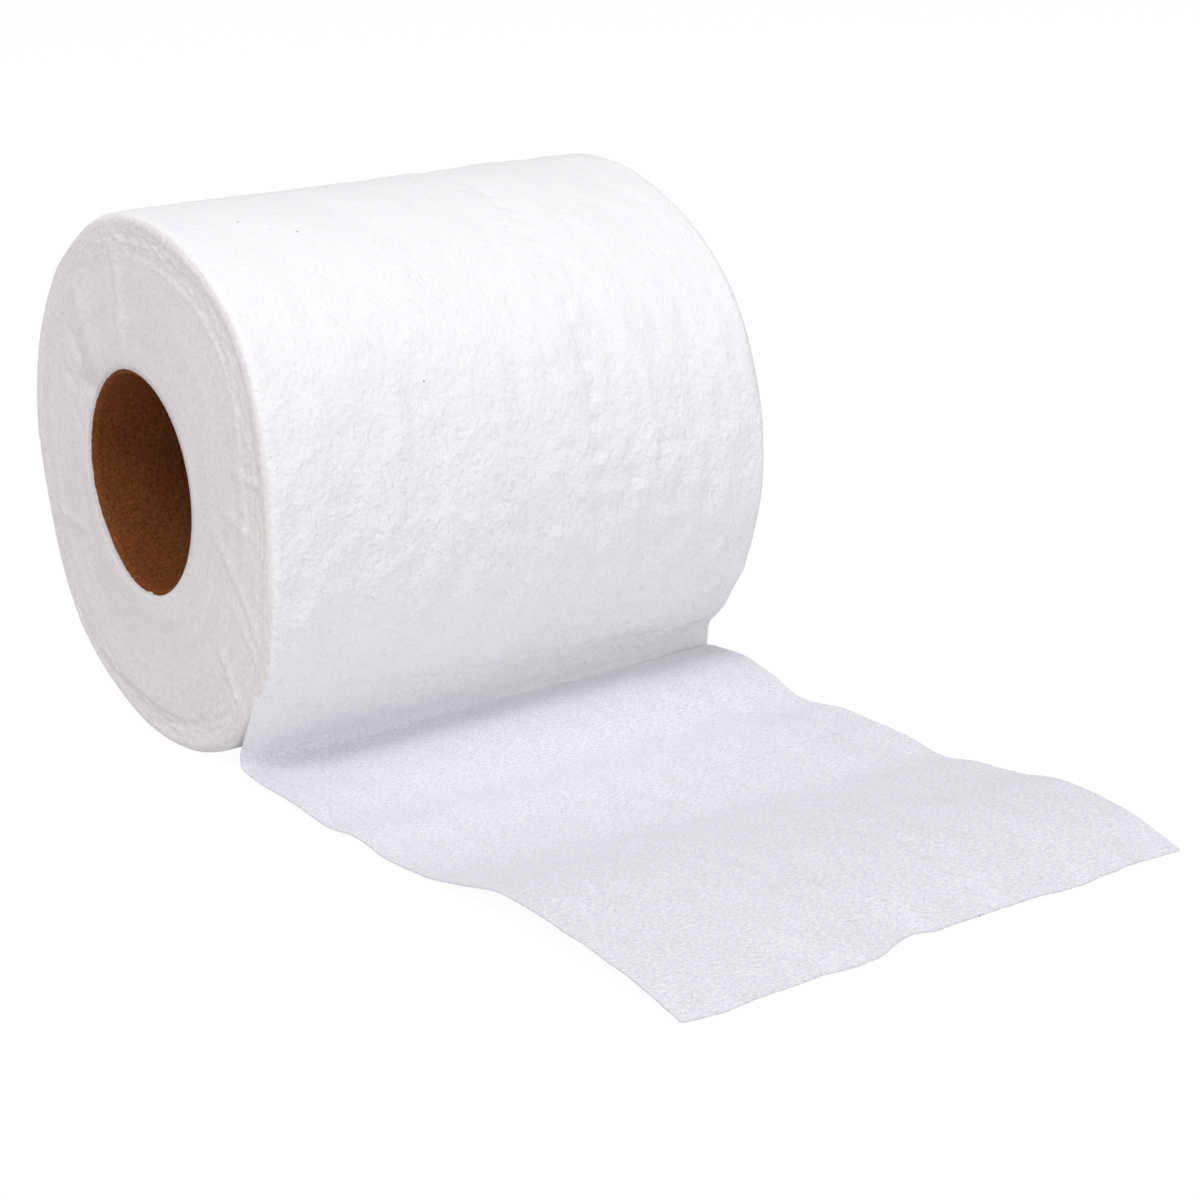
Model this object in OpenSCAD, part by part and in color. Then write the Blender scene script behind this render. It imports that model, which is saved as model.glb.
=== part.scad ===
// Roll of bathroom tissue: a wound web of soft tissue on a board tube, with its loose end drawn out
// over the surface that it stands on. X runs along the tube, Z is up, and the loose end lies
// towards -Y. The origin is on the tube's axis, half way along it.

/* [Board tube] */
// Radius of the tube's bore
bore_r = 20; // [17:0.5:24]
// Thickness of the wound board
board_t = 0.6; // [0.4:0.1:1.5]
// How far each end of the tube lies inside the end of the roll
tube_inset = 0.4; // [0:0.1:3]
// Width of the nick in the lower edge of the left mouth
nick_w = 1.6; // [0.5:0.1:4]
// Depth of that nick along the tube
nick_d = 0.8; // [0.2:0.1:2]

/* [Wound roll] */
// Width of the tissue web, which is the length of the roll
web_w = 102; // [90:1:120]
// Radius of the roll, before its own weight presses it out of round
roll_r = 48.5; // [42:0.5:60]
// How far the tube has shifted to the back in the soft roll
shift_back = 3.9; // [0:0.1:6]
// How far the tube has sunk in the soft roll
shift_down = 0.75; // [0:0.05:3]
// How far the deepest hollow of the pressed roll lies inside its round
press_depth = 2.4; // [0:0.1:4]
// Width of the flat spot that the roll stands on
flat_w = 16; // [8:1:24]
// Radius of the soft edge round each end
rim_r = 1.8; // [0.6:0.2:4]
// Clearance between the tube and the first turn
wrap_clear = 0.1; // [0.05:0.05:0.5]

/* [Turns at the ends] */
// Number of turns that stand out at each end
turn_count = 8; // [3:1:10]
// How far the edge of such a turn stands out
turn_relief = 0.5; // [0.1:0.05:1]

/* [Loose end] */
// Thickness of one sheet
sheet_t = 0.3; // [0.2:0.05:0.6]
// Length of web from the fold under the roll to the torn edge, at the left
drawn_l = 132; // [110:1:160]
// How much shorter that length is at the right
skew = 4; // [0:0.5:10]
// Widest gap between the roll and the loose end that hangs from it
hang_gap = 2.9; // [1:0.1:5]
// Height of the highest wave in which the loose end lies
wave_rise = 5.4; // [1:0.1:8]
// How far the deepest bite of the torn edge falls short
tear_depth = 2.5; // [0:0.1:5]
// Distance before the torn edge over which its shape comes in
tear_blend = 26; // [15:1:50]

/* [Hidden] */

$fn = 96;
ROLL_STEPS = 60;
SMOOTH = 2;
hole_r = bore_r + board_t + wrap_clear;
floor_z = shift_down - roll_r;
// How far the underside would hang below the floor, if the roll didn't stand on it
flat_sag = flat_w * flat_w / (8 * roll_r);

// A soft roll is pressed out of round. Each row is one swell or hollow of its outline: how far it
// stands out, as a share of press_depth, its angle from the back over the top, and how wide it spreads.
SWELLS_LEFT = [[0.7, 136, 18], [-1, 181, 25], [0.67, 231, 26], [0.42, 314, 16], [-0.38, 346, 16]];
SWELLS_RIGHT = [[0.8, 55, 24], [-0.62, 112, 24], [0.17, 180, 30], [0.29, 228, 26], [-0.38, 345, 25]];
FLAT_ANGLE = 264;
FLAT_SPREAD = 34;

// Angle at which the outer turn leaves the roll, and how it then hangs: angle, and gap to the roll as
// a share of hang_gap
LEAVE_LEFT = 221;
HANG_LEFT = [[227, 0.1], [231.5, 0.41], [236, 0.93]];
LEAVE_RIGHT = 231;
HANG_RIGHT = [[233.5, 0.07], [235.5, 0.48], [237, 1]];

// The loose end lies in low waves: place, as a share of the drawn length, and height of the underside,
// as a share of wave_rise
LIE_LEFT = [[0.01, 0.35], [0.08, 0.24], [0.155, 0.17], [0.225, 0.06], [0.305, 0.22], [0.38, 0.06],
    [0.48, 0.17], [0.555, 0.54], [0.655, 0.96], [0.775, 0.81], [0.895, 0.54], [1, 0.04]];
LIE_RIGHT = [[0.015, 0.91], [0.09, 1], [0.16, 0.72], [0.235, 0.2], [0.34, 0.43], [0.46, 0.35],
    [0.54, 0.11], [0.61, 0.33], [0.71, 0.57], [0.795, 0.85], [0.905, 0.65], [1, 0.04]];

// Torn edge: place as a share of the web's width, and how far the tear falls short there, as a share
// of tear_depth
TEAR = [[0, 0], [0.07, -0.4], [0.25, -0.08], [0.31, -0.48], [0.365, -0.28], [0.43, 0.84], [0.455, 1],
    [0.485, 0.4], [0.6, 0.48], [0.8, 0.04], [0.92, 0.32], [1, 0]];

function mix(a, b, t) = a + (b - a) * t;
function mix_rows(a, b, t) = [for (i = [0:len(a) - 1]) mix(a[i], b[i], t)];
function total(list, i = 0) = i == len(list) ? 0 : list[i] + total(list, i + 1);

// Outline of the roll. s runs from 0 at the left end to 1 at the right end.
function swell(a, row) = row[0] * exp(-pow((a - row[1]) / row[2], 2));
function swells(a, rows) = total([for (row = rows) swell(a, row)]);
function pressed(a, s) = press_depth * mix(swells(a, SWELLS_LEFT), swells(a, SWELLS_RIGHT), s);
function radius(a, s) = roll_r + pressed(a % 360, s)
    + swell(a % 360, [flat_sag, FLAT_ANGLE, FLAT_SPREAD]);
function on_roll(a, s, out) = [(radius(a, s) + out) * cos(a) - shift_back,
    max(floor_z, (radius(a, s) + out) * sin(a) + shift_down)];

// The soft edge: how far the outline draws in at a distance from the roll's end
function draw_in(d) = d >= rim_r ? 0 : rim_r - sqrt(rim_r * rim_r - pow(rim_r - d, 2));

// Route of the loose end in the section at s, from where it leaves the roll to the torn edge
function leave(s) = mix(LEAVE_LEFT, LEAVE_RIGHT, s);
function hang(s) = [for (row = mix_rows(HANG_LEFT, HANG_RIGHT, s)) on_roll(row[0], s, row[1] * hang_gap)];
function torn(y, s, tip) = y + tear_depth * lookup(s, TEAR) * max(0, 1 - (y - tip) / tear_blend);
function lie(s) =
    let (fold = hang(s)[2][0], tip = fold - drawn_l + skew * s)
    [for (row = mix_rows(LIE_LEFT, LIE_RIGHT, s))
        [torn(mix(fold, tip, row[0]), s, tip), floor_z + row[1] * wave_rise + sheet_t / 2]];
function bend(p, i, t) =
    let (a = p[max(i - 1, 0)], b = p[i], c = p[i + 1], d = p[min(i + 2, len(p) - 1)])
    0.5 * (2 * b + t * (c - a) + t * t * (2 * a - 5 * b + 4 * c - d)
        + t * t * t * (3 * b - a - 3 * c + d));
function smooth_line(p, first) = concat(
    [for (i = [first:len(p) - 2], k = [0:SMOOTH - 1]) bend(p, i, k / SMOOTH)], [p[len(p) - 1]]);
function route(s, in) = smooth_line(concat(
    [on_roll(leave(s) - 8, s, -in), on_roll(leave(s), s, -in - sheet_t / 2)], hang(s), lie(s)), 1);
function side(line, off) = [for (i = [1:len(line) - 1])
    let (d = line[min(i + 1, len(line) - 1)] - line[i - 1])
    line[i] + off * [d[1], -d[0]] / norm(d)];
function reversed(list) = [for (i = [len(list) - 1:-1:0]) list[i]];

// Section of the web at x: once round the roll, out along the top of the sheet, and back below it.
// Over its last turn the outline grows by one sheet, which is the one that then leaves it.
function round_angle(u, s) = LEAVE_LEFT + 360 * u + (leave(s) - LEAVE_LEFT) * pow(2 * u - 1, 6);
function section(x) =
    let (s = x / web_w + 0.5, in = draw_in(web_w / 2 - abs(x)), line = route(s, in))
    concat([for (k = [0:ROLL_STEPS]) let (u = k / ROLL_STEPS)
            on_roll(round_angle(u, s), s, -in - sheet_t * (1 - u))],
        side(line, sheet_t / 2), reversed(side(line, -sheet_t / 2)));

RIM_STEPS = [0, 0.3, 1];
stations = concat([for (r = RIM_STEPS) r * rim_r - web_w / 2],
    [for (i = [1:len(TEAR) - 2]) (TEAR[i][0] - 0.5) * web_w],
    [for (r = reversed(RIM_STEPS)) web_w / 2 - r * rim_r]);

// One end of the roll. The edges of the wound turns show as a spiral ridge: a crest line that winds
// out from the tube, and between its turns a valley line. First comes the hub, in the tube's hole.
TURNS_FROM = 0.07;
TURNS_TO = 0.88;
pitch = (TURNS_TO - TURNS_FROM) / (turn_count + 1);
crests = (turn_count + 1) * ROLL_STEPS;
valleys = turn_count * ROLL_STEPS;
function on_end(m, s, t, out) =
    let (a = round_angle((m % ROLL_STEPS) / ROLL_STEPS, s),
        p = mix(hole_r * [cos(a), sin(a)], on_roll(a, s, -rim_r - sheet_t), t))
    [(s * 2 - 1) * (web_w / 2 + out), p[0], p[1]];
function fade(m) = min(1, m / ROLL_STEPS) * min(1, 1.1 - m / crests);
function end_points(s) = concat([[(s - 0.5) * web_w, 0, 0]],
    [for (m = [0:crests]) on_end(m, s, TURNS_FROM + pitch * m / ROLL_STEPS, turn_relief * fade(m))],
    [for (m = [0:valleys]) on_end(m, s, TURNS_FROM + pitch * (m / ROLL_STEPS + 0.5), 0)]);

// Faces of an end, whose own points start at from, and whose rim is the ring of points at ring
function end_faces(from, ring) =
    let (n = ROLL_STEPS, c = from + 1, v = c + crests + 1, o = c + valleys)
    concat([for (m = [0:n - 2]) [from, c + m, c + m + 1]],
        [[from, c + n - 1, c], [c + n - 1, v, c], [c + n - 1, c + n, v]],
        [for (m = [0:valleys - 1]) each [[c + m, v + m, v + m + 1, c + m + 1],
            [v + m, c + m + n, c + m + n + 1, v + m + 1]]],
        [[o + 1, o, v + valleys], [o + 1, v + valleys, c + crests], [o + 1, c + crests, ring],
            [o + 1, ring, ring + 1]],
        [for (m = [1:n - 2]) [o + m, ring + m, ring + m + 1, o + m + 1]],
        [[o + n - 1, ring, c + crests], [o + n - 1, ring + n, ring],
            [o + n - 1, ring + n - 1, ring + n]]);

// Closed skin: walls through all the sections, and at each end the turns and the sheet's edge
module skin() {
    sections = [for (x = stations) section(x)];
    n = len(sections[0]);
    last = len(stations) - 1;
    walls = [for (j = [0:last - 1], i = [0:n - 1]) let (k = (i + 1) % n)
        [j * n + i, (j + 1) * n + i, (j + 1) * n + k, j * n + k]];
    edge = [for (i = [0:(n - ROLL_STEPS - 3) / 2])
        [ROLL_STEPS + i, ROLL_STEPS + i + 1, n - i - 1, (n - i) % n]];
    left = end_points(0);
    ring_points = [for (j = [0:last], p = sections[j]) [stations[j], p[0], p[1]]];
    from = len(ring_points);
    polyhedron(concat(ring_points, left, end_points(1)), concat(walls, edge,
        [for (f = end_faces(from, 0)) reversed(f)],
        [for (f = edge) reversed([for (i = f) i + last * n])],
        end_faces(from + len(left), last * n)), convexity = 6);
}

module along_x(from, length) translate([from, 0, 0]) rotate([90, 0, 90]) linear_extrude(length) children();

module tissue_web() color("whitesmoke") difference() {
    skin();
    along_x(-web_w, 2 * web_w) circle(hole_r);
}

module core_tube() color("saddlebrown") difference() {
    along_x(tube_inset - web_w / 2, web_w - 2 * tube_inset) circle(bore_r + board_t);
    along_x(-web_w, 2 * web_w) circle(bore_r);
    translate([tube_inset - web_w / 2 - nick_d, -nick_w / 2, -bore_r - 2 * board_t])
        cube([2 * nick_d, nick_w, 3 * board_t]);
}

core_tube();
tissue_web();
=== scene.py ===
import math

import bpy
import numpy as np
from mathutils import Matrix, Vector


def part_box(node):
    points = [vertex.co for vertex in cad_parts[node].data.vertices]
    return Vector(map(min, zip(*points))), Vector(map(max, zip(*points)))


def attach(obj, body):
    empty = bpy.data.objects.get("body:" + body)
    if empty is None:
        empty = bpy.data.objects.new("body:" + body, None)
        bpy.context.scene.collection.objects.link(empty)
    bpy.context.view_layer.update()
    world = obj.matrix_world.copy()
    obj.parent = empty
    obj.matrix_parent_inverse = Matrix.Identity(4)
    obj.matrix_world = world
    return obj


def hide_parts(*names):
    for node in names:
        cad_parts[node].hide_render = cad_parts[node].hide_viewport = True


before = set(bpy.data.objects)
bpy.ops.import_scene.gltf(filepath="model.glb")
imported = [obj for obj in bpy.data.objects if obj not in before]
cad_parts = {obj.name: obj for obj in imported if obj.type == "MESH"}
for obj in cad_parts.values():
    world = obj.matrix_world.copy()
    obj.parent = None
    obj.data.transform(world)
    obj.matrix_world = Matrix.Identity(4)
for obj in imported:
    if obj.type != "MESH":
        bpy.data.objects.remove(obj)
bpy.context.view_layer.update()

# Board tube.
# The tube is wound from plies of brown kraft board, cut off with the roll by a log saw. Its cut
# rims are a little furred. The left mouth is nicked at its lowest point, and pushed in slightly
# low at the back.
MM = 0.001
tube_low, tube_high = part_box("core_tube")
BOARD_T = 0.6 * MM
PLAY = 0.02 * MM
tube_outer = (tube_high.z - tube_low.z) / 2 - PLAY
tube_bore = tube_outer - BOARD_T
TUBE_COLUMNS = 240
TUBE_ROWS = 70
RIM_ROWS = 4


def add_mesh(name, points, faces):
    """A smooth-shaded mesh object made from an array of points and lists of corner numbers."""
    mesh = bpy.data.meshes.new(name)
    mesh.from_pydata(points.reshape(-1, 3).tolist(), [], faces)
    mesh.validate()
    mesh.polygons.foreach_set("use_smooth", [True] * len(mesh.polygons))
    made = bpy.data.objects.new(name, mesh)
    bpy.context.scene.collection.objects.link(made)
    return made


def lattice_noise(u, v, seed, lap=256):
    """Smooth random heights from -1 to 1 over the plane, one hill or hollow in about two units.
    They repeat along v after lap units."""
    table = np.random.default_rng(seed).uniform(-1, 1, (256, 256))
    iu, iv = np.floor(u).astype(int), np.floor(v).astype(int)
    fu, fv = u - iu, v - iv
    fu, fv = (f * f * f * (f * (f * 6 - 15) + 10) for f in (fu, fv))
    corner = lambda du, dv: table[(iu + du) % 256, (iv + dv) % lap]
    low = corner(0, 0) * (1 - fu) + corner(1, 0) * fu
    high = corner(0, 1) * (1 - fu) + corner(1, 1) * fu
    return low * (1 - fv) + high * fv


def bell(value, centre, spread):
    """1 at the centre, falling smoothly to 0 within about two spreads."""
    return np.exp(-(((value - centre) / spread) ** 2))


def smooth_step(value):
    """0 below 0, 1 above 1, and smooth between."""
    value = np.clip(value, 0, 1)
    return value * value * (3 - 2 * value)


def ring_walls(rows, columns):
    """Faces of a tube of rows and columns of points, closed round and from the last row to the first."""
    row, column = np.meshgrid(np.arange(rows), np.arange(columns), indexing="ij")
    next_row, next_column = (row + 1) % rows, (column + 1) % columns
    corners = [row * columns + column, row * columns + next_column]
    corners += [next_row * columns + next_column, next_row * columns + column]
    return np.stack(corners, -1).reshape(-1, 4).tolist()


inside_x = np.linspace(tube_high.x, tube_low.x, TUBE_ROWS)
outside_x = inside_x[::-1]
rim_share = np.linspace(0, 1, RIM_ROWS + 2)[1:-1]
tube_x = np.concatenate([
    outside_x,
    np.full(RIM_ROWS, tube_high.x),
    inside_x,
    np.full(RIM_ROWS, tube_low.x),
])
tube_r = np.concatenate([
    np.full(TUBE_ROWS, tube_outer),
    tube_outer - BOARD_T * rim_share,
    np.full(TUBE_ROWS, tube_bore),
    tube_bore + BOARD_T * rim_share,
])
turn = np.linspace(0, 2 * np.pi, TUBE_COLUMNS, endpoint=False)
at_x, at_turn = np.meshgrid(tube_x, turn, indexing="ij")
at_r = np.repeat(tube_r[:, None], TUBE_COLUMNS, 1)
from_mouth = at_x - tube_low.x
degrees = np.degrees(at_turn)
DENT = 0.75 * MM
DENT_REACH = 9 * MM
NICK = 0.8 * MM
FUR = 0.09 * MM
pushed_in = DENT * bell(degrees, 318, 24) * bell(from_mouth, 0, DENT_REACH)
nick = NICK * bell(degrees, 270, 2.2) * bell(from_mouth, 0, NICK / 2)
furred = FUR * lattice_noise(at_turn * 40, at_r / MM * 3, 5)
at_end = np.maximum(bell(from_mouth, 0, 0.5 * MM), bell(tube_high.x - at_x, 0, 0.5 * MM))
at_r = at_r - pushed_in
at_x = at_x + nick + np.sign(-at_x) * at_end * (FUR + furred)
tube_points = np.stack([at_x, at_r * np.cos(at_turn), at_r * np.sin(at_turn)], -1)
board_tube = add_mesh("board_tube", tube_points, ring_walls(len(tube_x), TUBE_COLUMNS))


def new_material(name, rough):
    """A material with only its shader, to which each section adds its own nodes."""
    made = bpy.data.materials.new(name)
    made.use_nodes = True
    shader = made.node_tree.nodes["Principled BSDF"]
    shader.inputs["Roughness"].default_value = rough
    shader.inputs["Specular IOR Level"].default_value = 0.2
    return made, made.node_tree.nodes, made.node_tree.links, shader


kraft, nodes, links, shader = new_material("kraft_board", 0.95)
shader.inputs["Specular IOR Level"].default_value = 0.05
place = nodes.new("ShaderNodeTexCoord")
stretch = nodes.new("ShaderNodeMapping")
stretch.inputs["Scale"].default_value = (1900, 1700, 1700)
fibres = nodes.new("ShaderNodeTexNoise")
fibres.inputs["Scale"].default_value = 1
fibres.inputs["Detail"].default_value = 5
blotches = nodes.new("ShaderNodeTexNoise")
blotches.inputs["Scale"].default_value = 160
blotches.inputs["Detail"].default_value = 3
pulp = nodes.new("ShaderNodeValToRGB")
pulp.color_ramp.elements[0].position = 0.3
pulp.color_ramp.elements[0].color = (0.15, 0.043, 0.012, 1)
pulp.color_ramp.elements[1].position = 0.8
pulp.color_ramp.elements[1].color = (0.38, 0.13, 0.042, 1)
tone = nodes.new("ShaderNodeMix")
tone.data_type = "RGBA"
tone.blend_type = "MULTIPLY"
tone.inputs["Factor"].default_value = 0.25
links.new(place.outputs["Object"], stretch.inputs["Vector"])
links.new(place.outputs["Object"], blotches.inputs["Vector"])
links.new(stretch.outputs["Vector"], fibres.inputs["Vector"])
links.new(fibres.outputs["Fac"], pulp.inputs["Fac"])
links.new(pulp.outputs["Color"], tone.inputs["A"])
links.new(blotches.outputs["Color"], tone.inputs["B"])
links.new(tone.outputs["Result"], shader.inputs["Base Color"])
grain = nodes.new("ShaderNodeBump")
grain.inputs["Strength"].default_value = 0.6
grain.inputs["Distance"].default_value = 0.1 * MM
links.new(fibres.outputs["Fac"], grain.inputs["Height"])
links.new(grain.outputs["Normal"], shader.inputs["Normal"])
board_tube.data.materials.append(kraft)
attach(board_tube, "root")
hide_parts("core_tube")

# Wound turns.
# About a hundred turns of soft two-ply tissue are wound on the tube and sawn to length. The sawn ends
# show them as faint rings, with pressed folds that run out from the tube and a looser, rougher band
# at the rim. The soft roll has sagged out of round, and stands on a small flat spot.
web_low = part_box("tissue_web")[0]
WEB_W = 102 * MM
ROLL_R = 48.5 * MM
FLAT_W = 16 * MM
RIM_R = 1.8 * MM
SHEET_T = 0.3 * MM
FLOOR_Z = web_low.z
# The tube sits this far back and down from the middle of the pressed roll.
SHIFT_BACK = 3.9 * MM
SHIFT_DOWN = 0.75 * MM
FLAT_ANGLE = 264
FLAT_SPREAD = 34
STANDS_ANGLE = 266
STANDS_SPREAD = 16
# Where the outline swells or is pressed in: share of the depth, angle and spread in degrees.
PRESS_DEPTH = 2.4 * MM
SWELLS_LEFT = [(0.7, 136, 18), (-1, 181, 25), (0.67, 231, 26), (0.42, 314, 16), (-0.38, 346, 16)]
SWELLS_RIGHT = [(0.8, 55, 24), (-0.62, 112, 24), (0.17, 180, 30), (0.29, 228, 26), (-0.38, 345, 25)]
LEAVE_LEFT = 221
LEAVE_RIGHT = 231
TURN_COLUMNS = 420
END_RINGS = 40
BODY_ROWS = 136
CRIMP_X = 14.7
CRIMP_PITCH = 5.5
END_SHARES = np.concatenate([np.linspace(0, 0.7, 14, endpoint=False), np.linspace(0.7, 1, END_RINGS - 14)])
# How crumbled the rim is at angles round it. Then the steps where turns have slipped past each other:
# marks of angle and share of the way out, and the drop in mm. Then the creases that run outward: shares
# of the way out, angles there, width in degrees and height in mm.
ROUGH_ROUND = [(0, 0.35), (50, 0.4), (75, 1), (105, 0.7), (150, 0.9), (215, 0.5), (250, 0.9), (290, 0.9),
    (320, 0.3), (360, 0.35)]
STEP_ENDS = 12
STEP_SLOPE = 0.035
RIM_STEPS = [([(75, 0.76), (125, 0.79), (150, 0.78), (162, 0.73), (192, 0.7)], 0.42),
    ([(108, 0.6), (160, 0.63)], 0.14), ([(230, 0.83), (280, 0.8), (300, 0.88), (325, 0.895)], 0.4),
    ([(0, 0.82), (58, 0.85)], 0.25), ([(325, 0.9), (360, 0.9)], 0.2)]
CREASES = [(0.02, 0.3, 44, 31, 1.9, -0.9), (0.3, 0.62, 41, 40, 2.2, -0.55), (0.3, 0.55, 28, 28, 1.6, -0.45),
    (0.12, 0.36, 14, 22, 1.3, -0.4), (0.05, 0.8, 53, 52, 4, 0.45), (0.05, 0.8, 83, 81, 2.4, 0.35),
    (0.35, 0.92, 190, 208, 1.9, 0.42), (0.55, 0.95, 206, 213, 2, 0.34), (0.45, 0.85, 179, 184, 1.7, 0.3),
    (0.6, 0.93, 166, 171, 1.4, 0.45), (0.3, 0.75, 332, 342, 1.3, 0.35), (0.55, 0.95, 224, 228, 1.7, 0.5)]


def swells(angle, rows):
    """How far the outline stands out at an angle, by rows of share of the depth, angle and spread."""
    return sum(size * PRESS_DEPTH * bell(angle % 360, centre, spread) for size, centre, spread in rows)


def roll_radius(angle, s):
    """Outline of the pressed roll at an angle from the back over the top; s is 0 left, 1 right."""
    flat = FLAT_W**2 / (8 * ROLL_R) * bell(angle % 360, FLAT_ANGLE, FLAT_SPREAD)
    return ROLL_R + flat + swells(angle, SWELLS_LEFT) * (1 - s) + swells(angle, SWELLS_RIGHT) * s


def on_roll(angle, s, out):
    """Point in the roll's section, that far outside its outline, and never below the floor."""
    r = roll_radius(angle, s) + out
    y = r * np.cos(np.radians(angle)) - SHIFT_BACK
    z = r * np.sin(np.radians(angle)) + SHIFT_DOWN
    return np.stack([y, np.maximum(z, FLOOR_Z)], -1)


def draw_in(from_end):
    """How far the soft rim draws the outline in at a distance from the roll's end."""
    rise = np.clip(RIM_R - from_end, 0, RIM_R)
    return RIM_R - np.sqrt(RIM_R**2 - rise**2)


def leave(s):
    """Angle at which the outer turn leaves the roll."""
    return LEAVE_LEFT + (LEAVE_RIGHT - LEAVE_LEFT) * s


def web_relief(across, along, free):
    """Height of the embossing and wrinkles at a place on the web, in mm, counted from where the web
    leaves the roll: along is positive on the loose end. free is 0 on the roll and 1 where it lies."""
    u, v = across / MM, along / MM
    pillows = 0.12 * lattice_noise(u / 2.4, v / 2.8, 61) + 0.12 * lattice_noise(u / 3.6, v / 5.5, 62)
    broad = 0.25 * lattice_noise(u / 9, v / 15, 63) + 0.12 * lattice_noise(u / 5, v / 8, 64)
    right_side = 0.3 + 0.7 * np.clip((u + 5) / 35, 0, 1)
    streaks = 0.16 * lattice_noise(u / 2.2, v / 14, 65) * right_side
    low_right = bell(u, 34, 17) * bell(v, -17, 20)
    crumples = 0.42 * lattice_noise((u + 0.5 * v) / 3.4, (v - 0.5 * u) / 5.5, 66) * low_right
    line = CRIMP_X + 0.6 * np.sin(v / 23)
    line = line - 5 * np.clip((v - 90) / 70, 0, 1)
    crimp = -0.45 * bell(u, line, 0.95) * (0.5 + 0.5 * np.cos(2 * np.pi * v / CRIMP_PITCH)) ** 2
    level = 1 - 0.45 * bell(v, -115, 35) + 0.7 * bell(v, -12, 40)
    on_the_roll = (pillows + broad + streaks + crumples) * level + crimp
    lying = 0.35 * pillows + 0.8 * broad + 0.2 * streaks + 0.6 * crimp
    return on_the_roll * (1 - free) + lying * free


# Columns run once round the roll from where the outer turn leaves it. Rows run from the tube out
# over the left end, along the outer turn, and back in over the right end. Over the last turn the
# outline grows by one sheet, which is the one that then leaves it. The turn beneath it lies a little
# deeper for some degrees, and the outer turn sinks a little just before the loose end covers it.
STEP_RUN = 0.001
BENEATH_SPAN = 28
BENEATH_DROP = 0.45 * MM
SINK = 0.07 * MM
SINK_SPAN = 9
EDGE_SINK = 0.25 * MM
EDGE_SPAN = 2.6
round_share = np.linspace(STEP_RUN, 1, TURN_COLUMNS)
grown = np.linspace(0, 1, TURN_COLUMNS)
WRAP_GAP = 0.12 * MM
wound_r = tube_outer + WRAP_GAP


def end_noise(share, turned, outward, round_count, seed):
    """Random heights over an end, with that many hills from tube to rim and round the roll."""
    return lattice_noise(share * outward, turned / 360 * round_count, seed, round_count)


def between_marks(value, marks):
    """Height at a value, along straight stretches between marks of value and height."""
    return np.interp(value, *np.transpose(marks))


def end_face(s):
    """Grid of points over one sawn end, ring by ring out to the rim. Its turns and folds lift it by
    heights in mm."""
    share, lap = np.meshgrid(END_SHARES, round_share, indexing="ij")
    angle = leave(s) - 360 * (1 - lap)
    rim = on_roll(angle, s, -RIM_R - SHEET_T * (1 - grown) * share**12)
    tube = wound_r * np.stack([np.cos(np.radians(angle)), np.sin(np.radians(angle))], -1)
    place = tube + (rim - tube) * share[..., None]
    seed = 11 + int(s)
    turned = angle % 360
    rings = end_noise(share, turned, 17, 5, seed) * 0.04
    broad = end_noise(share, turned, 3.5, 6, seed + 10) * 0.16
    fold_zone = bell(turned, 85, 30) + bell(turned, 200, 26) + 0.5 * bell(turned, 15, 16)
    pinched = end_noise(share + turned / 260, turned, 4, 44, seed + 20) * 0.13 * fold_zone
    rough = bell(share, 0.9, 0.09) * between_marks(turned, ROUGH_ROUND)
    crumbled = end_noise(share, turned, 38, 190, seed + 30) * 0.4 * rough
    lift = rings + broad + pinched + crumbled
    for marks, drop in RIM_STEPS:
        begun = smooth_step((turned - marks[0][0]) / STEP_ENDS)
        within = begun * smooth_step((marks[-1][0] - turned) / STEP_ENDS)
        lift = lift - drop * within * smooth_step((share - between_marks(turned, marks)) / STEP_SLOPE)
    for inner, outer, low_angle, high_angle, width, height in CREASES:
        ridge = low_angle + (high_angle - low_angle) * (share - inner) / (outer - inner)
        within = smooth_step((share - inner) / 0.08 + 0.5) * smooth_step((outer - share) / 0.12 + 0.5)
        aside = (turned - ridge + 180) % 360 - 180
        lift = lift + height * within * bell(aside, 0, width / (0.35 + share))
    lift *= np.clip(share * 12, 0, 1) * np.clip((1 - share) * 14, 0, 1)
    x = (WEB_W / 2 + lift * MM) * (1 if s else -1)
    return np.concatenate([x[..., None], place], -1)


def outer_ring(x, inset):
    """Ring of points round the outer turn, drawn in by inset at the rim."""
    s = x / WEB_W + 0.5
    angle = leave(s) - 360 * (1 - round_share)
    along = -2 * np.pi * ROLL_R * (1 - round_share)
    fullness = 1 - inset / RIM_R
    relief = web_relief(np.full(TURN_COLUMNS, x), along, 0) * MM * fullness
    standing = np.clip(bell(angle % 360, STANDS_ANGLE, STANDS_SPREAD) * 1.4, 0, 1)
    beneath = smooth_step(1 - round_share * 360 / BENEATH_SPAN)
    before_leaving = (1 - round_share) * 360
    tucked = SINK * smooth_step(1 - before_leaving / SINK_SPAN)
    tucked = tucked + EDGE_SINK * smooth_step(1 - before_leaving / EDGE_SPAN)
    out = relief * (1 - standing) * (1 - beneath) - BENEATH_DROP * beneath * fullness
    ring = on_roll(angle, s, out - inset - SHEET_T * (1 - grown) - tucked)
    return np.concatenate([np.full((TURN_COLUMNS, 1), x), ring], -1)


rim_turn = np.radians(np.linspace(0, 90, 9)[1:-1])
rim_x = WEB_W / 2 - RIM_R * (1 - np.cos(rim_turn))
rim_in = RIM_R * (1 - np.sin(rim_turn))
body_x = np.linspace(-WEB_W / 2 + RIM_R, WEB_W / 2 - RIM_R, BODY_ROWS)
rows = [*end_face(0)]
rows += [outer_ring(-x, inset) for x, inset in zip(rim_x, rim_in)]
rows += [outer_ring(x, 0) for x in body_x]
rows += [outer_ring(x, inset) for x, inset in zip(rim_x[::-1], rim_in[::-1])]
rows += [*end_face(1)[::-1]]
wound_turns = add_mesh("wound_turns", np.array(rows), ring_walls(len(rows), TURN_COLUMNS))

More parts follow.
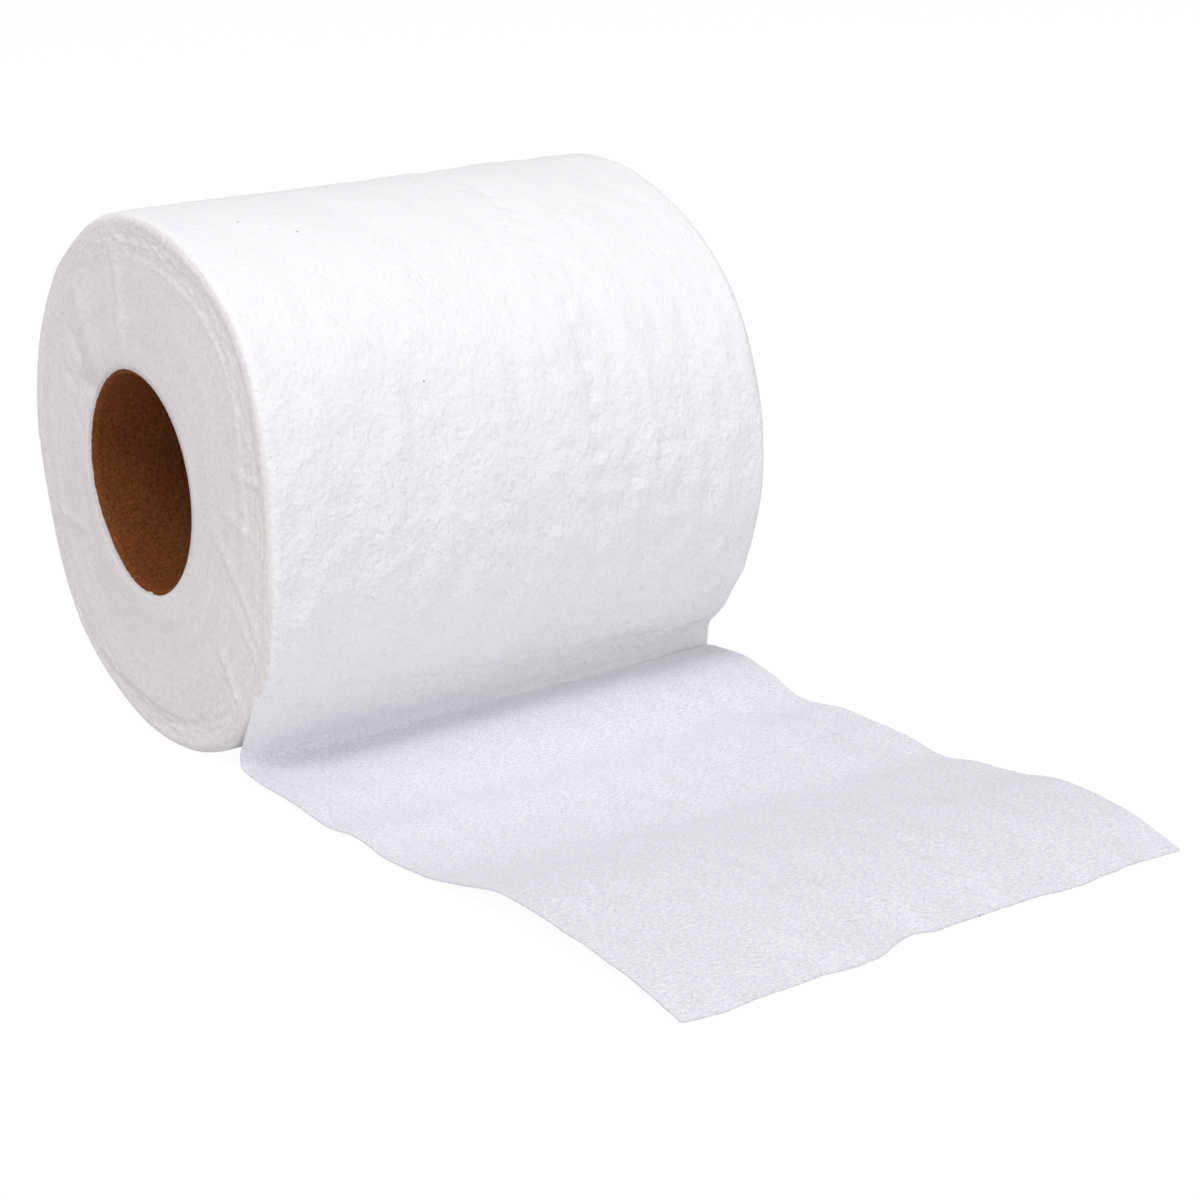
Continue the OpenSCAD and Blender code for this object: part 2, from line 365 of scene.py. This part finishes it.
# The two finishes below are mapped on the web itself: on the ends by share of the way out and angle,
# and elsewhere by the place across and along the web, with its freedom from the roll as the third.
FIRST_WHITE_ROW = END_RINGS + 3
LAST_WHITE_ROW = len(rows) - END_RINGS - 5


def place_on_web(piece, name, places):
    """Stores three numbers at each point of the piece, for its material to read."""
    layer = piece.data.attributes.new(name, "FLOAT_VECTOR", "POINT")
    layer.data.foreach_set("vector", np.asarray(places, dtype=np.float32).reshape(-1))


white_rows = len(rows) - 2 * END_RINGS
white_x = np.array(rows)[END_RINGS:-END_RINGS, :, 0]
white_along = -2 * np.pi * ROLL_R * (1 - np.repeat(round_share[None], white_rows, 0))
white = np.stack([white_x, white_along, np.zeros_like(white_x)], -1)
white_row = np.arange(white_rows)
WHITE_ROW_SHARE = 0.014
past_rim = 1 + WHITE_ROW_SHARE * (np.minimum(white_row, white_row[::-1]) + 1)
out_share = np.concatenate([END_SHARES, past_rim, END_SHARES[::-1]])
share, lap = np.meshgrid(out_share, round_share, indexing="ij")
sawn_places = np.stack([share, np.cos(2 * np.pi * lap), np.sin(2 * np.pi * lap)], -1)
no_place = np.zeros((END_RINGS, TURN_COLUMNS, 3))
web_places = np.concatenate([no_place, white, no_place])
place_on_web(wound_turns, "sawn_place", sawn_places)
place_on_web(wound_turns, "web_place", web_places)


def attribute_vector(nodes, links, name, scale):
    """The numbers stored on the piece under that name, stretched by scale."""
    stored = nodes.new("ShaderNodeAttribute")
    stored.attribute_name = name
    stretched = nodes.new("ShaderNodeMapping")
    stretched.inputs["Scale"].default_value = scale
    links.new(stored.outputs["Vector"], stretched.inputs["Vector"])
    return stretched.outputs["Vector"]


def noise(nodes, links, vector, detail, roughness=0.5):
    """Value of a noise at that vector, from 0 to 1."""
    made = nodes.new("ShaderNodeTexNoise")
    made.inputs["Scale"].default_value = 1
    made.inputs["Detail"].default_value = detail
    made.inputs["Roughness"].default_value = roughness
    links.new(vector, made.inputs["Vector"])
    return made.outputs["Fac"]


def ramp(nodes, links, value, *stops):
    """Colour at a value, between stops of position and colour."""
    made = nodes.new("ShaderNodeValToRGB")
    for position, colour in stops[2:]:
        made.color_ramp.elements.new(position)
    for element, (position, colour) in zip(made.color_ramp.elements, stops):
        element.position = position
        element.color = (*colour, 1)
    links.new(value, made.inputs["Fac"])
    return made.outputs["Color"]


def mixed(nodes, links, blend, factor, a, b):
    """Colours a and b blended. The factor, a and b are outputs or plain values."""
    made = nodes.new("ShaderNodeMix")
    made.data_type = "RGBA"
    made.blend_type = blend
    for socket, value in (("Factor", factor), ("A", a), ("B", b)):
        target = next(i for i in made.inputs if i.name == socket and i.enabled)
        if isinstance(value, bpy.types.NodeSocket):
            links.new(value, target)
        else:
            target.default_value = value
    return next(o for o in made.outputs if o.enabled)


def maths(nodes, links, operation, *values):
    """Result of one sum. The values are outputs or plain numbers."""
    made = nodes.new("ShaderNodeMath")
    made.operation = operation
    for target, value in zip(made.inputs, values):
        if isinstance(value, bpy.types.NodeSocket):
            links.new(value, target)
        else:
            target.default_value = value
    return made.outputs["Value"]


def bumps(nodes, links, shader, *layers):
    """Bumps laid over each other, each with its height and how far it rises in millimetres."""
    below = None
    for height, rise in layers:
        made = nodes.new("ShaderNodeBump")
        made.inputs["Strength"].default_value = 1
        made.inputs["Distance"].default_value = rise * MM
        links.new(height, made.inputs["Height"])
        if below:
            links.new(below, made.inputs["Normal"])
        below = made.outputs["Normal"]
    links.new(below, shader.inputs["Normal"])


sawn, nodes, links, shader = new_material("sawn_turns", 0.96)
rings = noise(nodes, links, attribute_vector(nodes, links, "sawn_place", (46, 2.5, 2.5)), 4, 0.65)
bands = noise(nodes, links, attribute_vector(nodes, links, "sawn_place", (7, 1.6, 1.6)), 2)
crumbs = noise(nodes, links, attribute_vector(nodes, links, "sawn_place", (60, 70, 70)), 3, 0.65)
radial = noise(nodes, links, attribute_vector(nodes, links, "sawn_place", (2.5, 12, 12)), 2)
outward = nodes.new("ShaderNodeSeparateXYZ")
links.new(attribute_vector(nodes, links, "sawn_place", (1, 1, 1)), outward.inputs["Vector"])
mottle = noise(nodes, links, attribute_vector(nodes, links, "sawn_place", (30, 36, 36)), 4, 0.7)
warmth = ramp(nodes, links, outward.outputs["X"], (0, (0.955, 0.925, 0.935)), (0.1, (0.955, 0.92, 0.93)),
    (0.78, (0.955, 0.92, 0.93)), (0.88, (0.97, 0.937, 0.937)), (1, (0.985, 0.96, 0.96)))
ring_tone = ramp(nodes, links, rings, (0.3, (0.95, 0.945, 0.94)), (0.7, (1, 1, 1)))
band_tone = ramp(nodes, links, bands, (0.35, (0.965, 0.96, 0.955)), (0.65, (1, 1, 1)))
mottle_tone = ramp(nodes, links, mottle, (0.34, (0.91, 0.9, 0.893)), (0.6, (1, 1, 1)))
crumb_tone = ramp(nodes, links, crumbs, (0.3, (0.86, 0.835, 0.81)), (0.52, (1, 1, 1)))
near_rim = ramp(nodes, links, outward.outputs["X"], (0.68, (0.35, 0.35, 0.35)), (0.84, (1, 1, 1)))
patchy = ramp(nodes, links, bands, (0.35, (1, 1, 1)), (0.65, (0.35, 0.35, 0.35)))
crumb_share = maths(nodes, links, "MULTIPLY", near_rim, patchy)
colour = mixed(nodes, links, "MULTIPLY", 1, warmth, ring_tone)
colour = mixed(nodes, links, "MULTIPLY", 1, colour, band_tone)
colour = mixed(nodes, links, "MULTIPLY", 1, colour, mottle_tone)
colour = mixed(nodes, links, "MULTIPLY", crumb_share, colour, crumb_tone)
links.new(colour, shader.inputs["Base Color"])
bumps(nodes, links, shader, (mottle, 0.3), (crumbs, 0.08), (radial, 0.1))

tissue, nodes, links, shader = new_material("embossed_tissue", 0.94)
STACKED = (0.93, 0.925, 0.935, 1)
SINGLE = (0.962, 0.956, 0.974, 1)
shader.inputs["Sheen Weight"].default_value = 0.08
shader.inputs["Sheen Roughness"].default_value = 0.6
where = nodes.new("ShaderNodeSeparateXYZ")
links.new(attribute_vector(nodes, links, "web_place", (1, 1, 1)), where.inputs["Vector"])
across, along, free = where.outputs["X"], where.outputs["Y"], where.outputs["Z"]
round_the_roll = maths(nodes, links, "MULTIPLY_ADD", along, 1 / (2 * math.pi * ROLL_R), 1)
level = ramp(nodes, links, round_the_roll, (0.5, (0.5, 0.5, 0.5)), (0.64, (0.3, 0.3, 0.3)),
    (0.78, (0.48, 0.48, 0.48)), (0.92, (1, 1, 1)))
level = maths(nodes, links, "MULTIPLY", level, maths(nodes, links, "MULTIPLY_ADD", free, -0.65, 1))
dimples = noise(nodes, links, attribute_vector(nodes, links, "web_place", (820, 640, 0)), 2, 0.6)
dimples = maths(nodes, links, "MULTIPLY", dimples, level)
pits = nodes.new("ShaderNodeTexVoronoi")
pits.inputs["Scale"].default_value = 1
links.new(attribute_vector(nodes, links, "web_place", (430, 360, 0)), pits.inputs["Vector"])
pit_wall = ramp(nodes, links, pits.outputs["Distance"], (0.05, (0, 0, 0)), (0.35, (1, 1, 1)))
pit_wall = maths(nodes, links, "MULTIPLY", pit_wall, level)
fibres = noise(nodes, links, attribute_vector(nodes, links, "web_place", (2300, 1500, 0)), 4, 0.7)
strands = noise(nodes, links, attribute_vector(nodes, links, "web_place", (900, 2600, 0)), 3, 0.6)
clouds = noise(nodes, links, attribute_vector(nodes, links, "web_place", (300, 120, 0)), 5, 0.65)
cloud_tone = ramp(nodes, links, clouds, (0.3, (0.945, 0.935, 0.94)), (0.7, (0.99, 0.995, 1)))
fibre_tone = ramp(nodes, links, fibres, (0.3, (0.75, 0.75, 0.8)), (0.62, (1, 1, 1)))
strand_tone = ramp(nodes, links, strands, (0.3, (0.84, 0.84, 0.87)), (0.62, (1, 1, 1)))
colour = mixed(nodes, links, "MIX", free, STACKED, SINGLE)
clouded = mixed(nodes, links, "MULTIPLY", 1, colour, cloud_tone)
clouded = mixed(nodes, links, "MULTIPLY", 1, clouded, fibre_tone)
clouded = mixed(nodes, links, "MULTIPLY", 1, clouded, strand_tone)
colour = mixed(nodes, links, "MIX", maths(nodes, links, "MULTIPLY_ADD", free, 0.9, 0.1), colour, clouded)

# A few dark specks of pulp lie scattered over the web, with finer and paler flecks on the loose end,
# and the perforation shows as a row of slits, whose dark dashes are painted shade.
SPECK_PITCH = 9 * MM
FLECK_PITCH = 2.1 * MM
SLIT_PITCH = 3.7 * MM


def scattered(nodes, links, pitch, inner, outer, left_out):
    """Spots spread over the web, one in a square of that pitch, with a share of them left out."""
    cells = nodes.new("ShaderNodeTexVoronoi")
    cells.inputs["Scale"].default_value = 1 / pitch
    links.new(attribute_vector(nodes, links, "web_place", (1, 1, 0)), cells.inputs["Vector"])
    spot = ramp(nodes, links, cells.outputs["Distance"], (inner, (1, 1, 1)), (outer, (0, 0, 0)))
    chosen = nodes.new("ShaderNodeSeparateColor")
    links.new(cells.outputs["Color"], chosen.inputs["Color"])
    kept = maths(nodes, links, "GREATER_THAN", chosen.outputs["Red"], left_out)
    return maths(nodes, links, "MULTIPLY", spot, kept)


speck = scattered(nodes, links, SPECK_PITCH, 0.014, 0.03, 0.62)
fleck = maths(nodes, links, "MULTIPLY", scattered(nodes, links, FLECK_PITCH, 0.03, 0.085, 0.55), free)
slits = nodes.new("ShaderNodeSeparateXYZ")
links.new(attribute_vector(nodes, links, "slit_place", (1 / SLIT_PITCH, 1 / MM, 1)), slits.inputs["Vector"])
SLIT_SHARE = 0.55
in_slit = maths(nodes, links, "LESS_THAN", maths(nodes, links, "FRACT", slits.outputs["X"]), SLIT_SHARE)
off_row = maths(nodes, links, "ABSOLUTE", slits.outputs["Y"])
on_row = ramp(nodes, links, off_row, (0.12, (1, 1, 1)), (0.32, (0, 0, 0)))
# Dark dashes of painted shade along the slits of the perforation.
slit_shade = maths(nodes, links, "MULTIPLY", maths(nodes, links, "MULTIPLY", in_slit, on_row), slits.outputs["Z"])
# The slits' colour below is painted shade.
marks = [
    (slit_shade, 0.2, (0.35, 0.33, 0.36, 1)),
    (fleck, 0.3, (0.4, 0.38, 0.45, 1)),
    (speck, 0.75, (0.08, 0.07, 0.08, 1)),
]
for mark, strength, mark_colour in marks:
    colour = mixed(nodes, links, "MIX", maths(nodes, links, "MULTIPLY", mark, strength), colour, mark_colour)
links.new(colour, shader.inputs["Base Color"])
bumps(nodes, links, shader, (dimples, 0.68), (pit_wall, 0.14), (fibres, 0.1))

wound_turns.data.materials.append(tissue)
wound_turns.data.materials.append(sawn)
row_of_face = np.repeat(np.arange(len(rows)), TURN_COLUMNS)
is_sawn = (row_of_face < FIRST_WHITE_ROW) | (row_of_face > LAST_WHITE_ROW)
wound_turns.data.polygons.foreach_set("material_index", is_sawn.astype(np.int32))
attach(wound_turns, "root")
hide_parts("tissue_web")

# Loose end.
# The outer turn comes off the front of the roll, hangs to a fold beneath it, and lies out over the
# surface in low waves. It is torn off a little beside its perforation, so its edge is ragged.
DRAWN_L = 132 * MM
SKEW = 4 * MM
TEAR_BLEND = 26 * MM
HANG_GAP = 2.9 * MM
WAVE_RISE = 5.4 * MM
TEAR_DEPTH = 2.5 * MM
HANG_LEFT = [(227, 0.1), (231.5, 0.41), (236, 0.93)]
HANG_RIGHT = [(233.5, 0.07), (235.5, 0.48), (237, 1)]
LIE_LEFT = [(0.01, 0.35), (0.08, 0.24), (0.155, 0.17), (0.225, 0.06), (0.305, 0.22), (0.38, 0.06),
    (0.48, 0.17), (0.555, 0.54), (0.655, 0.96), (0.775, 0.81), (0.895, 0.54), (1, 0.04)]
LIE_RIGHT = [(0.015, 0.91), (0.09, 1), (0.16, 0.72), (0.235, 0.2), (0.34, 0.43), (0.46, 0.35),
    (0.54, 0.11), (0.61, 0.33), (0.71, 0.57), (0.795, 0.85), (0.905, 0.65), (1, 0.04)]
TEAR = [(0, 0), (0.07, -0.4), (0.25, -0.08), (0.31, -0.48), (0.365, -0.28), (0.43, 0.84), (0.455, 1),
    (0.485, 0.4), (0.6, 0.48), (0.8, 0.04), (0.92, 0.32), (1, 0)]
# Degrees back along the outer turn, with the shares of SINK and of the rim's drawing in kept there.
TUCKED = [(12, 1, 1), (8, 0.9, 1), (4, 0.25, 0.96), (0, 0, 0.85)]
INSET_KEPT = (0.5, 0.3, 0.1)
CURVE_STEPS = 40
SHARE_TO_FOLD = 0.16
CROWDING = 0.012
ACROSS_POINTS = 166
ALONG_POINTS = 262
PERFORATION_Y = -84.4 * MM
FREE_FROM = 4 * MM
FREE_OVER = 12 * MM
FRAY_REACH = 2 * MM
FRAY_MM = (0.05, 0.035)
EDGE_WANDER = 0.12 * MM
EDGE_REACH = 3 * MM


def between(left, right, s):
    """Rows of numbers, part of the way from the left ones to the right ones."""
    return np.array(left) * (1 - s) + np.array(right) * s


def smooth_line(points, pieces):
    """Points along a smooth curve through the given ones, leaving out the first stretch."""
    padded = np.concatenate([points, points[-1:]])
    line = []
    for a, b, c, d in zip(padded[:-3], padded[1:-2], padded[2:-1], padded[3:]):
        t = np.linspace(0, 1, pieces, endpoint=False)[:, None]
        line.append(0.5 * (2 * b + t * (c - a) + t**2 * (2 * a - 5 * b + 4 * c - d)
            + t**3 * (3 * b - a - 3 * c + d)))
    return np.concatenate([*line, points[-1:]])


def sheet_line(x):
    """Middle line of the loose end at x: from under the outer turn, over the fold, to the torn edge.
    Returns its points, spaced as the whole sheet's are, and the distance along it of each."""
    s = x / WEB_W + 0.5
    inset = draw_in(WEB_W / 2 - abs(x))
    tucked = [on_roll(leave(s) - back, s, -inset * kept - SHEET_T / 2 - sink * SINK)
        for back, sink, kept in TUCKED]
    hang = [on_roll(angle, s, gap * HANG_GAP - inset * kept)
        for (angle, gap), kept in zip(between(HANG_LEFT, HANG_RIGHT, s), INSET_KEPT)]
    fold = hang[-1][0]
    tip = fold - DRAWN_L + SKEW * s
    shortfall = np.interp(s, *np.transpose(TEAR)) * TEAR_DEPTH
    lie = []
    for place, height in between(LIE_LEFT, LIE_RIGHT, s):
        y = fold + (tip - fold) * place
        y += shortfall * max(0, 1 - (y - tip) / TEAR_BLEND)
        lie.append(np.array([y, FLOOR_Z + height * WAVE_RISE + SHEET_T / 2]))
    line = smooth_line(np.array([*tucked, *hang, *lie]), CURVE_STEPS)
    steps = np.linalg.norm(np.diff(line, axis=0), axis=1)
    along = np.concatenate([[0], np.cumsum(steps)])
    leaves = along[2 * CURVE_STEPS]
    folds = along[(len(tucked) - 2 + len(hang)) * CURVE_STEPS + CURVE_STEPS // 2]
    count = np.linspace(0, 1, ALONG_POINTS)
    crowded = count + CROWDING * np.sin(2 * np.pi * count)
    at = np.interp(crowded, [0, SHARE_TO_FOLD, 1], [0, folds, along[-1]])
    points = np.stack([np.interp(at, along, line[:, 0]), np.interp(at, along, line[:, 1])], -1)
    return points, at - leaves


sheet_x = np.linspace(-WEB_W / 2, WEB_W / 2, ACROSS_POINTS)
lines, alongs = zip(*[sheet_line(x) for x in sheet_x])
middle = np.stack(lines, 1)
sheet_along = np.stack(alongs, 1)
sheet_across = np.repeat(sheet_x[None], ALONG_POINTS, 0)
direction = np.gradient(middle, axis=0)
direction /= np.linalg.norm(direction, axis=-1, keepdims=True)
facing = np.stack([direction[..., 1], -direction[..., 0]], -1)
free_now = smooth_step((sheet_along - FREE_FROM) / FREE_OVER)
relief = web_relief(sheet_across, sheet_along, free_now) * MM
fullness = 1 - draw_in(WEB_W / 2 - abs(sheet_across)) / RIM_R
relief *= fullness + (1 - fullness) * free_now
relief = np.maximum(relief, FLOOR_Z + SHEET_T / 2 - middle[..., 1])
torn_edge = np.clip(1 - (sheet_along.max(0) - sheet_along) / FRAY_REACH, 0, 1)
fray = FRAY_MM[0] * lattice_noise(sheet_across / MM / 1.1, 0 * sheet_along, 71)
fray += FRAY_MM[1] * lattice_noise(sheet_across / MM / 0.62, 0 * sheet_along, 72)
edge_run = EDGE_WANDER * lattice_noise(np.sign(sheet_across) * 9, sheet_along / MM / 5, 73)
edge_run *= np.clip(1 - (WEB_W / 2 - abs(sheet_across)) / EDGE_REACH, 0, 1)
middle = middle + direction * (fray * torn_edge * MM)[..., None]
top = middle + facing * (relief + SHEET_T / 2)[..., None]
bottom = middle + facing * (relief - SHEET_T / 2)[..., None]
bottom[..., 1] = np.maximum(bottom[..., 1], FLOOR_Z)
top[..., 1] = np.maximum(top[..., 1], bottom[..., 1] + 0.1 * MM)
side_x = sheet_across + edge_run

# Each line of the sheet is a closed ring of points, out along its top and back along its underside.
ring_yz = np.concatenate([top, bottom[::-1]]).transpose(1, 0, 2)
ring_x = np.concatenate([side_x, side_x[::-1]]).T
ring_size = 2 * ALONG_POINTS
walls = ring_walls(ACROSS_POINTS, ring_size)[: (ACROSS_POINTS - 1) * ring_size]
step = np.arange(ALONG_POINTS - 1)
edge = np.stack([step, step + 1, ring_size - 2 - step, ring_size - 1 - step], -1)
far_edge = edge[:, ::-1] + (ACROSS_POINTS - 1) * ring_size
sheet_faces = [*walls, *edge.tolist(), *far_edge.tolist()]
loose_end = add_mesh("loose_end", np.concatenate([ring_x[..., None], ring_yz], -1), sheet_faces)
loose_end.data.set_sharp_from_angle(angle=math.radians(50))


def both_sides(values):
    """Numbers for each point of the sheet's rings, out along the top and back along the underside."""
    return np.concatenate([values, values[::-1]]).T


# How far along each line the perforation lies, looked for past the first points, which still curl
# under the roll. The shade painted in its slits is stronger towards the far side.
FIRST_LYING = 60
SLITS_FROM = 8 * MM
SLITS_OVER = 14 * MM
perforated = np.array([
    np.interp(-PERFORATION_Y, -line[FIRST_LYING:, 0], along[FIRST_LYING:])
    for line, along in zip(lines, alongs)
])
past_slits = sheet_along - perforated[None]
clear_share = np.clip((sheet_across - SLITS_FROM) / SLITS_OVER, 0, 1)
slit_shade_share = 0.35 + 0.65 * clear_share
web_places = [both_sides(v) for v in (sheet_across, sheet_along, free_now)]
slit_places = [both_sides(v) for v in (sheet_across, past_slits, slit_shade_share)]
place_on_web(loose_end, "web_place", np.stack(web_places, -1))
place_on_web(loose_end, "slit_place", np.stack(slit_places, -1))
loose_end.data.materials.append(tissue)
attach(loose_end, "root")
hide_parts("tissue_web")

# Floor.
# A white surface that the roll stands on. It is a little off white under the roll, where the light
# doesn't reach, and elsewhere as white as the backdrop.
FLOOR_SIZE = 4
GLOW = 1.08
GLOW_SHARE = 0.88
corner = FLOOR_SIZE / 2
corners = np.array([(-corner, -corner, 0), (corner, -corner, 0), (corner, corner, 0), (-corner, corner, 0)])
floor = add_mesh("floor", corners + [0, 0, FLOOR_Z], [[0, 1, 2, 3]])
white, nodes, links, shader = new_material("white_floor", 0.9)
shader.inputs["Base Color"].default_value = (0.8, 0.8, 0.8, 1)
glow = nodes.new("ShaderNodeEmission")
glow.inputs["Color"].default_value = (1, 1, 1, 1)
glow.inputs["Strength"].default_value = GLOW
seen = nodes.new("ShaderNodeLightPath")
seen_share = maths(nodes, links, "MAXIMUM", seen.outputs["Is Camera Ray"], seen.outputs["Is Glossy Ray"])
seen_share = maths(nodes, links, "MAXIMUM", seen_share, seen.outputs["Is Transmission Ray"])
seen_share = maths(nodes, links, "MULTIPLY", seen_share, GLOW_SHARE)
blended = nodes.new("ShaderNodeMixShader")
links.new(seen_share, blended.inputs["Fac"])
links.new(shader.outputs["BSDF"], blended.inputs[1])
links.new(glow.outputs["Emission"], blended.inputs[2])
links.new(blended.outputs["Shader"], nodes["Material Output"].inputs["Surface"])
floor.data.materials.append(white)

# Light.
# Soft, slightly cool daylight all round. Large lamps hang above the roll, above its front and above
# its near end, and two wider ones stand low in front of it.
world = bpy.data.worlds.new("daylight")
bpy.context.scene.world = world
world.use_nodes = True
nodes, links = world.node_tree.nodes, world.node_tree.links
sky = nodes["Background"]
seen = nodes.new("ShaderNodeLightPath")
seen_share = maths(nodes, links, "MAXIMUM", seen.outputs["Is Camera Ray"], seen.outputs["Is Glossy Ray"])
seen_share = maths(nodes, links, "MAXIMUM", seen_share, seen.outputs["Is Transmission Ray"])
DAYLIGHT = 0.36
COOL = (0.985, 0.957, 1, 1)
links.new(mixed(nodes, links, "MIX", seen_share, COOL, (1, 1, 1, 1)), sky.inputs["Color"])
links.new(maths(nodes, links, "MULTIPLY_ADD", seen_share, 1 - DAYLIGHT, DAYLIGHT), sky.inputs["Strength"])


def add_lamp(name, azimuth, elevation, power, size, distance=1.5):
    """A soft square lamp that faces the roll. Azimuth 0 is in front of it, towards -Y."""
    az, el = math.radians(azimuth), math.radians(elevation)
    lamp = bpy.data.lights.new(name, "AREA")
    lamp.energy = power
    lamp.size = size
    made = bpy.data.objects.new(name, lamp)
    made.location = (
        distance * math.sin(az) * math.cos(el),
        -distance * math.cos(az) * math.cos(el),
        distance * math.sin(el),
    )
    made.rotation_euler = (math.pi / 2 - el, 0, az)
    bpy.context.scene.collection.objects.link(made)


add_lamp("key_lamp", 12, 62, 1.65, 0.7)
add_lamp("high_lamp", 0, 85, 5.2, 1)
add_lamp("fill_lamp", -35, 12, 3.9, 1.2)
add_lamp("low_lamp", 20, 4, 5.4, 1.2)
add_lamp("end_lamp", -62, 55, 7.1, 0.6)

# Camera.
# It looks down at the near end of the roll from the left of its front.
CAMERA_PLACE = (-0.27884, -0.48915, 0.1287)
CAMERA_AZIMUTH = -33.7529
CAMERA_ELEVATION = 16.0418
CAMERA_ROLL = -1.8248
FRAME_SHARE = 3044.52 / 1200
SENSOR_MM = 36
lens = bpy.data.cameras.new("camera")
lens.sensor_width = SENSOR_MM
lens.lens = SENSOR_MM * FRAME_SHARE
lens.clip_start = 0.01
camera = bpy.data.objects.new("camera", lens)
turned = Matrix.Rotation(math.radians(CAMERA_AZIMUTH), 4, "Z")
turned @= Matrix.Rotation(math.radians(90 - CAMERA_ELEVATION), 4, "X")
turned @= Matrix.Rotation(math.radians(CAMERA_ROLL), 4, "Z")
camera.matrix_world = Matrix.Translation(CAMERA_PLACE) @ turned
bpy.context.scene.collection.objects.link(camera)
bpy.context.scene.camera = camera
bpy.context.scene.view_settings.view_transform = "Standard"
